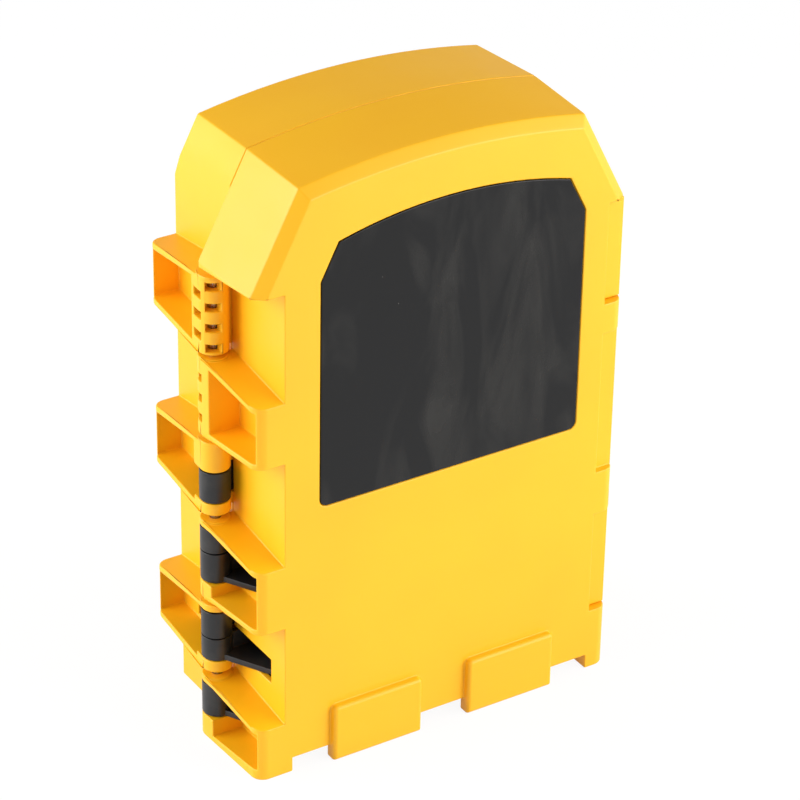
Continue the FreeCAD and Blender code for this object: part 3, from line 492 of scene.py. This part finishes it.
def shank_sections(height):
    """A hexagon shank with bevelled ends."""
    slim = SHANK - SHANK_BEVEL
    top = slim * 0.9
    return [(0, hexagon_reach(slim)), (SHANK_BEVEL, hexagon_reach(SHANK)),
            (height - SHANK_BEVEL, hexagon_reach(SHANK)), (height, round_reach(top))]


def necked(total, tip):
    """A bit with a turned neck below its tip, whose sections lie at shares of the tip's height."""
    start = total - TIP_LENGTH
    neck = [(SHANK_LENGTH + NECK_FILLET, round_reach(NECK)), (start, round_reach(NECK))]
    raised = [(start + share * (total - start), reach) for share, reach in tip]
    return shank_sections(SHANK_LENGTH) + neck + raised


def cross_bit(total):
    wing = 0.55 * MM
    tip = [(0.15, cross_reach(NECK, 1.5 * MM)), (0.35, cross_reach(2.3 * MM, wing)),
           (0.7, cross_reach(1.75 * MM, wing)), (0.93, cross_reach(1.0 * MM, wing)),
           (1, cross_reach(0.7 * MM, wing))]
    return lofted("cross_bit", necked(total, tip))


def star_bit():
    radius = 2.2 * MM
    tip = [(0.2, round_reach(NECK)), (0.28, star_reach(radius)), (0.95, star_reach(radius)),
           (1, star_reach(radius * 0.88))]
    return lofted("star_bit", necked(SHORT_BIT, tip))


def slotted_bit():
    tip = [(0.1, blade_reach(NECK, 2.0 * MM)), (0.5, blade_reach(NECK, 0.9 * MM)),
           (0.97, blade_reach(NECK, 0.5 * MM)), (1, blade_reach(NECK * 0.95, 0.42 * MM))]
    return lofted("slotted_bit", necked(SHORT_BIT, tip))


def hex_key_bit():
    radius = 2.35 * MM
    tip = [(0.1, round_reach(NECK)), (0.2, hexagon_reach(radius)), (0.96, hexagon_reach(radius)),
           (1, hexagon_reach(radius * 0.86))]
    return lofted("hex_key_bit", necked(LONG_BIT, tip))


def drill(name, radius, high, point):
    """A twist drill on a hexagon shank, with flutes up to some height and a point above it."""
    step = 1.2 * MM
    fillet = 0.6 * MM
    tip_share = 0.12
    low = DRILL_SHANK_LENGTH
    plain = low + 4 * MM
    sections = shank_sections(low) + [(low + fillet, round_reach(radius)), (plain, round_reach(radius))]
    count = max(2, round((high - plain) / step))
    for index in range(1, count + 1):
        height = plain + (high - plain) * index / count
        twist = 2 * math.pi * (height - plain) / sizes().flute_lead
        sections.append((height, fluted_reach(radius, twist)))
    sections.append((high + point, fluted_reach(radius * tip_share, twist)))
    return lofted(name, sections)


def masonry_drill(total):
    """A twist drill with a hard plate set across its end."""
    radius, point = 2.5 * MM, 0.6 * MM
    reach, half = 3 * MM, 0.8 * MM
    tip, slope = 5 * MM, 1.6 * MM
    shape = bmesh.new()
    shape.from_mesh(drill("masonry_rod", radius, total - tip / 2 - point, point))
    shape.from_mesh(lofted("masonry_tip", [(total - tip, blade_reach(reach, half)),
                                           (total - slope, blade_reach(reach, half)),
                                           (total, blade_reach(0.9 * MM, half))]))
    return as_mesh(shape, "masonry_drill")


def sleeve_sections(total, bore, depth):
    """A round sleeve on a shank, with soft shoulders, a waist groove and a hexagon hole in its end."""
    start = SHANK_LENGTH
    soft = 0.6 * MM
    waist = SLEEVE - soft / 2
    groove_share = 0.3
    groove = start + (total - start) * groove_share
    width = 2 * MM
    root = SHANK * 0.8
    return [(start, round_reach(root)), (start, round_reach(SLEEVE - soft)),
            (start + soft, round_reach(SLEEVE)), (groove, round_reach(SLEEVE)),
            (groove + soft / 2, round_reach(waist)), (groove + width - soft / 2, round_reach(waist)),
            (groove + width, round_reach(SLEEVE)), (total - soft, round_reach(SLEEVE)),
            (total, round_reach(SLEEVE - soft)), (total, hexagon_reach(bore + soft / 2)),
            (total - soft, hexagon_reach(bore)), (total - depth, hexagon_reach(bore))]


def sleeved(name, total, bore, depth):
    """A shank without its upper bevel, under a sleeve."""
    return lofted(name, shank_sections(SHANK_LENGTH)[:3] + sleeve_sections(total, bore, depth))


def nut_driver():
    return sleeved("nut_driver", 35 * MM, 3.5 * MM, 10 * MM)


def bit_holder():
    return sleeved("bit_holder", 49 * MM, SHANK, 13 * MM)


def countersink():
    """A turned head with cutting flutes above a round neck."""
    total = 30 * MM
    head = total - 6 * MM
    radius, lip = 5 * MM, 4.8 * MM
    soft = 0.6 * MM
    flutes, depth_share = 5, 0.14

    def cut(reach):
        return lambda turn: reach * (1 - depth_share + depth_share * math.cos(flutes * turn))
    return lofted("countersink", shank_sections(SHANK_LENGTH)
                  + [(SHANK_LENGTH + NECK_FILLET, round_reach(NECK)), (head - soft, round_reach(NECK)),
                     (head - 0.4 * MM, round_reach(lip)), (head, cut(radius)),
                     (total - soft, cut(1.4 * MM)), (total, cut(0.9 * MM))], points=40)


def wood_bit(width):
    """A flat blade with a centre point and two spurs, on a round stem."""
    start = SHANK_LENGTH
    stem, stem_radius, taper = 18 * MM, 2.2 * MM, 2 * MM
    blade, thick, sunk = 16 * MM, 1.6 * MM, 1 * MM
    shoulder = 2 * MM
    low = start + stem
    rod = lofted("wood_bit_stem", shank_sections(start)
                 + [(start + NECK_FILLET, round_reach(stem_radius)),
                    (low - taper, round_reach(stem_radius)),
                    (low + sunk, blade_reach(stem_radius, thick / 2))])
    high = low + blade
    half = width / 2
    spur, spur_width, spur_root = high - 3 * MM, 1.2 * MM, high - 4.4 * MM
    root, root_half = high - 5 * MM, 1.5 * MM
    profile = [(-half, low + shoulder), (-shoulder, low), (shoulder, low), (half, low + shoulder),
               (half, spur), (half - spur_width, spur_root), (root_half, root), (0, high),
               (-root_half, root), (spur_width - half, spur_root), (-half, spur)]
    shape = bmesh.new()
    shape.from_mesh(rod)
    slab(shape, profile, -thick / 2, thick / 2)
    return as_mesh(shape, "wood_bit")


def row_tree():
    """A node tree that sets copies of one item along a line."""
    name = "Row"
    if name in bpy.data.node_groups:
        return bpy.data.node_groups[name]
    tree = bpy.data.node_groups.new(name, "GeometryNodeTree")
    for label, kind in (("Item", "Object"), ("Count", "Int"), ("First", "Vector"), ("Step", "Vector"),
                        ("Finish", "Material")):
        tree.interface.new_socket(label, in_out="INPUT", socket_type="NodeSocket" + kind)
    tree.interface.new_socket("Geometry", in_out="OUTPUT", socket_type="NodeSocketGeometry")
    given = add(tree, "NodeGroupInput").outputs
    line = add(tree, "GeometryNodeMeshLine", {"Count": given["Count"], "Start Location": given["First"],
                                              "Offset": given["Step"]}, mode="OFFSET")
    item = add(tree, "GeometryNodeObjectInfo", {"Object": given["Item"]})
    copies = add(tree, "GeometryNodeInstanceOnPoints",
                 {"Points": line.outputs[0], "Instance": item.outputs["Geometry"]})
    real = add(tree, "GeometryNodeRealizeInstances", {"Geometry": copies.outputs[0]})
    painted = add(tree, "GeometryNodeSetMaterial", {"Geometry": real.outputs[0], "Material": given["Finish"]})
    add(tree, "NodeGroupOutput", {"Geometry": painted.outputs[0]})
    return tree


def row(name, mesh, count, first, step, slot):
    """A piece made of copies of a mesh along a line."""
    item = new_object(name + "_item", mesh)
    piece = new_object(name, bpy.data.meshes.new(name))
    modifier = piece.modifiers.new("Row", "NODES")
    modifier.node_group = row_tree()
    values = {"Item": item, "Count": count, "First": first, "Step": step, "Finish": finish(slot)}
    for socket in modifier.node_group.interface.items_tree:
        if socket.in_out == "INPUT":
            modifier[socket.identifier] = values[socket.name]
    baked(piece)
    bpy.data.objects.remove(item)
    return piece


# Sockets along a bar: the X of the first, and their spacing
FIRST_SOCKET = -48.9 * MM
SOCKET_PITCH = 11.2 * MM


def seat(node, place):
    """The bottom of one of the ten sockets in the bar that holds a node's bits."""
    low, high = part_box(node)
    return Vector((FIRST_SOCKET + SOCKET_PITCH * place, (low.y + high.y) / 2, low.z))


def bit_row(node, mesh, place, count=1):
    """Like bits from one place of a bar on."""
    piece = row(node + "_row", mesh, count, seat(node, place), Vector((SOCKET_PITCH, 0, 0)), slot_of(node))
    soften(piece, TURNED_CREASE)
    stand_for(piece, node)


def graded_row(node, meshes, place):
    """Bits that grow from one place of a bar on, joined into one piece."""
    shape = bmesh.new()
    for index, mesh in enumerate(meshes):
        mesh.transform(Matrix.Translation(seat(node, place + index)))
        shape.from_mesh(mesh)
    joined = as_mesh(shape, node + "_row")
    joined.materials.append(finish(slot_of(node)))
    piece = new_object(node + "_row", joined)
    soften(piece, TURNED_CREASE)
    stand_for(piece, node)


# Operators

class BITCASE_OT_shells(bpy.types.Operator):
    """Round the moulded edges of both shells and the latches"""
    bl_idname = "bit_case.shells"
    bl_label = "Shells and latches"

    def execute(self, context):
        moulded("front_shell", sizes().shell_edge, round_bumps)
        moulded("rear_shell", sizes().shell_edge)
        for node in ("lower_latch", "upper_latch"):
            moulded(node, sizes().shell_edge)
            self.thumb_ribs(node)
        self.wing_wall()
        return {"FINISHED"}

    def wing_wall(self):
        """A thin wall that closes the wing of the front shell, which overhangs the hinge, from behind."""
        tip, root = -75.1 * MM, -64.8 * MM
        low, high = 203.3 * MM, 222.3 * MM
        near, far = -2.3 * MM, -0.5 * MM
        shape = bmesh.new()
        slab(shape, ((tip, low), (root, low), (root, high)), near, far)
        mesh = as_mesh(shape, "wing_wall")
        mesh.materials.append(finish("yellow_plastic"))
        wall = new_object("wing_wall", mesh)
        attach(wall, "front_case")

    def thumb_ribs(self, node):
        """Half-round ribs near the free end of a latch."""
        count = 5
        rib = 0.45 * MM
        end = rib * 0.4
        margin = 3 * MM
        height_share = 0.6
        low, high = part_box(node)
        height = (high.z - low.z) * height_share
        mesh = lofted(node + "_rib", [(0, round_reach(end)), (rib, round_reach(rib)),
                                      (height - rib, round_reach(rib)), (height, round_reach(end))],
                      points=12)
        first = Vector((high.x, low.y + margin, (low.z + high.z - height) / 2))
        step = Vector((0, sizes().rib_pitch, 0))
        ribs = row(node + "_thumb_ribs", mesh, count, first, step, slot_of(node))
        soften(ribs, MOULDED_CREASE)
        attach(ribs, body_of(node))


class BITCASE_OT_label(bpy.types.Operator):
    """Finish the bare gloss label"""
    bl_idname = "bit_case.label"
    bl_label = "Label"

    def execute(self, context):
        moulded("label_panel", sizes().label_edge)
        return {"FINISHED"}


class BITCASE_OT_racks(bpy.types.Operator):
    """Round the moulded edges of both bit racks"""
    bl_idname = "bit_case.racks"
    bl_label = "Bit racks"

    def execute(self, context):
        for node in ("front_bit_rack", "rear_bit_rack"):
            moulded(node, sizes().rack_edge)
        return {"FINISHED"}


class BITCASE_OT_pins(bpy.types.Operator):
    """Bevel the hinge and latch pins"""
    bl_idname = "bit_case.pins"
    bl_label = "Pins"

    def execute(self, context):
        for node in ("hinge_pin", "lower_latch_pin", "upper_latch_pin"):
            moulded(node, sizes().pin_edge)
        return {"FINISHED"}


class BITCASE_OT_driver_bits(bpy.types.Operator):
    """Set out the screwdriver bits"""
    bl_idname = "bit_case.driver_bits"
    bl_label = "Screwdriver bits"

    def execute(self, context):
        bit_row("cross_tip_bits", cross_bit(SHORT_BIT), 0, 10)
        bit_row("star_tip_bits", star_bit(), 0, 10)
        bit_row("slotted_bits", slotted_bit(), 0, 5)
        bit_row("hex_key_bits", hex_key_bit(), 5, 5)
        bit_row("long_driver_bits", cross_bit(LONG_BIT), 3, 3)
        return {"FINISHED"}


# Diameter and rod height of each twist drill, height of each masonry drill, and width of each wood bit, in mm
TWIST_DRILLS = ((3, 70), (4, 77), (5, 84), (6, 91), (7, 98), (8, 105))
TWIST_POINT_SHARE = 0.3
MASONRY_DRILLS = (87.5, 94.5, 101.5)
WOOD_BITS = (8, 9, 10)


class BITCASE_OT_drills(bpy.types.Operator):
    """Set out the twist, masonry and flat wood drills"""
    bl_idname = "bit_case.drills"
    bl_label = "Drills"

    def execute(self, context):
        twist = [drill("twist_drill", wide / 2 * MM, high * MM, wide * TWIST_POINT_SHARE * MM)
                 for wide, high in TWIST_DRILLS]
        graded_row("twist_drills", twist, 0)
        graded_row("masonry_drills", [masonry_drill(high * MM) for high in MASONRY_DRILLS], 6)
        graded_row("flat_wood_bits", [wood_bit(wide * MM) for wide in WOOD_BITS], 7)
        return {"FINISHED"}


class BITCASE_OT_accessories(bpy.types.Operator):
    """Set out the nut drivers, the bit holder and the countersink"""
    bl_idname = "bit_case.accessories"
    bl_label = "Accessories"

    def execute(self, context):
        bit_row("nut_drivers", nut_driver(), 0, 3)
        bit_row("bit_holder", bit_holder(), 6)
        bit_row("countersink", countersink(), 9)
        return {"FINISHED"}


# Middle of the case, and places and width of the lamps that look at it, in metres
MIDDLE = Vector((0, 0, 0.12))
KEY_PLACE = Vector((-1.07, 0.46, 0.36))
FILL_PLACE = Vector((0.78, -0.86, 0.36))
LAMP_SIZE = 1.2
WHITE = (1, 1, 1, 1)


class BITCASE_OT_stage(bpy.types.Operator):
    """Make the floor, the lamps and the camera"""
    bl_idname = "bit_case.stage"
    bl_label = "Stage"

    def execute(self, context):
        stage = context.scene.bit_case_stage
        context.scene.view_settings.view_transform = "Standard"
        self.floor()
        self.world(stage.ambient)
        self.lamp("key", KEY_PLACE, stage.key_power)
        self.lamp("fill", FILL_PLACE, stage.fill_power)
        self.camera(stage)
        return {"FINISHED"}

    def seen_directly(self, tree):
        """1 for what the camera sees straight on, in a mirror or through glass."""
        path = add(tree, "ShaderNodeLightPath").outputs
        some = add(tree, "ShaderNodeMath", {0: path["Is Camera Ray"], 1: path["Is Glossy Ray"]},
                   operation="MAXIMUM")
        seen = add(tree, "ShaderNodeMath", {0: some.outputs[0], 1: path["Is Transmission Ray"]},
                   operation="MAXIMUM")
        return seen.outputs[0]

    def floor(self):
        """A pale floor: mostly plain white to the eye, with the shadow of the case left on it."""
        half = 4.0
        glow_strength, glow_share = 1.05, 0.88
        mesh = bpy.data.meshes.new("floor")
        corners = [(-half, -half, 0), (half, -half, 0), (half, half, 0), (-half, half, 0)]
        mesh.from_pydata(corners, [], [(0, 1, 2, 3)])
        made = bpy.data.materials.new("painted studio floor")
        made.use_nodes = True
        tree = made.node_tree
        tree.nodes.clear()
        paint = add(tree, "ShaderNodeBsdfDiffuse", {"Color": opaque(colours().floor)})
        glow = add(tree, "ShaderNodeEmission", {"Color": WHITE, "Strength": glow_strength})
        part = add(tree, "ShaderNodeMath", {0: self.seen_directly(tree), 1: glow_share}, operation="MULTIPLY")
        both = add(tree, "ShaderNodeMixShader", {0: part.outputs[0], 1: paint.outputs[0], 2: glow.outputs[0]})
        add(tree, "ShaderNodeOutputMaterial", {"Surface": both.outputs[0]})
        mesh.materials.append(made)
        new_object("floor", mesh)

    def world(self, ambient):
        """White where a camera or a mirror looks level, and dim overhead, as under a studio ceiling."""
        world = bpy.data.worlds.new("studio")
        world.use_nodes = True
        tree = world.node_tree
        tree.nodes.clear()
        way = add(tree, "ShaderNodeSeparateXYZ", {0: add(tree, "ShaderNodeTexCoord").outputs["Generated"]})
        sky = add(tree, "ShaderNodeMapRange", {"Value": way.outputs["Z"], "From Min": 0.05, "From Max": 0.3,
                                               "To Min": 1.0, "To Max": 0.1})
        strength = add(tree, "ShaderNodeMapRange", {"Value": self.seen_directly(tree), "To Min": ambient,
                                                    "To Max": sky.outputs[0]})
        light = add(tree, "ShaderNodeBackground", {"Color": WHITE, "Strength": strength.outputs[0]})
        add(tree, "ShaderNodeOutputWorld", {"Surface": light.outputs[0]})
        bpy.context.scene.world = world

    def lamp(self, name, place, power):
        """A large soft lamp that looks at the middle of the case."""
        data = bpy.data.lights.new(name, "AREA")
        data.size = LAMP_SIZE
        data.energy = power
        lamp = new_object(name, data)
        lamp.location = place
        lamp.rotation_euler = (MIDDLE - place).to_track_quat("-Z", "Y").to_euler()

    def camera(self, stage):
        """A camera at the viewing angle of the photograph."""
        level = math.cos(stage.elevation)
        back = Vector((-math.sin(stage.azimuth) * level, -math.cos(stage.azimuth) * level,
                       math.sin(stage.elevation)))
        right = Vector((math.cos(stage.azimuth), -math.sin(stage.azimuth), 0))
        up = back.cross(right)
        tipped_right = right * math.cos(stage.roll) + up * math.sin(stage.roll)
        tipped_up = up * math.cos(stage.roll) - right * math.sin(stage.roll)
        turned = Matrix((tipped_right, tipped_up, back)).transposed().to_4x4()
        data = bpy.data.cameras.new("camera")
        data.lens = stage.lens
        camera = new_object("camera", data)
        camera.matrix_world = Matrix.Translation(Vector(stage.target) + back * stage.distance) @ turned
        bpy.context.scene.camera = camera


OPERATORS = (
    BITCASE_OT_shells,
    BITCASE_OT_label,
    BITCASE_OT_racks,
    BITCASE_OT_pins,
    BITCASE_OT_driver_bits,
    BITCASE_OT_drills,
    BITCASE_OT_accessories,
    BITCASE_OT_stage,
)
GROUPS = {
    "bit_case_colours": BitCaseColours,
    "bit_case_sizes": BitCaseSizes,
    "bit_case_stage": BitCaseStage,
}


class BITCASE_PT_sidebar(bpy.types.Panel):
    """The pieces of the bit case, their sizes and their colours"""
    bl_idname = "BITCASE_PT_sidebar"
    bl_label = "Bit Case"
    bl_space_type = "VIEW_3D"
    bl_region_type = "UI"
    bl_category = "Bit Case"

    def draw(self, context):
        for operator in OPERATORS:
            self.layout.operator(operator.bl_idname)
        for name, group in GROUPS.items():
            box = self.layout.box()
            for setting in group.__annotations__:
                box.prop(getattr(context.scene, name), setting)


CLASSES = (*GROUPS.values(), *OPERATORS, BITCASE_PT_sidebar)


def register():
    for each in CLASSES:
        bpy.utils.register_class(each)
    for name, group in GROUPS.items():
        setattr(bpy.types.Scene, name, bpy.props.PointerProperty(type=group))


def unregister():
    for name in GROUPS:
        delattr(bpy.types.Scene, name)
    for each in reversed(CLASSES):
        bpy.utils.unregister_class(each)


def main():
    register()
    bpy.ops.bit_case.shells()
    bpy.ops.bit_case.label()
    bpy.ops.bit_case.racks()
    bpy.ops.bit_case.pins()
    bpy.ops.bit_case.driver_bits()
    bpy.ops.bit_case.drills()
    bpy.ops.bit_case.accessories()
    bpy.ops.bit_case.stage()


if __name__ == "__main__":
    main()
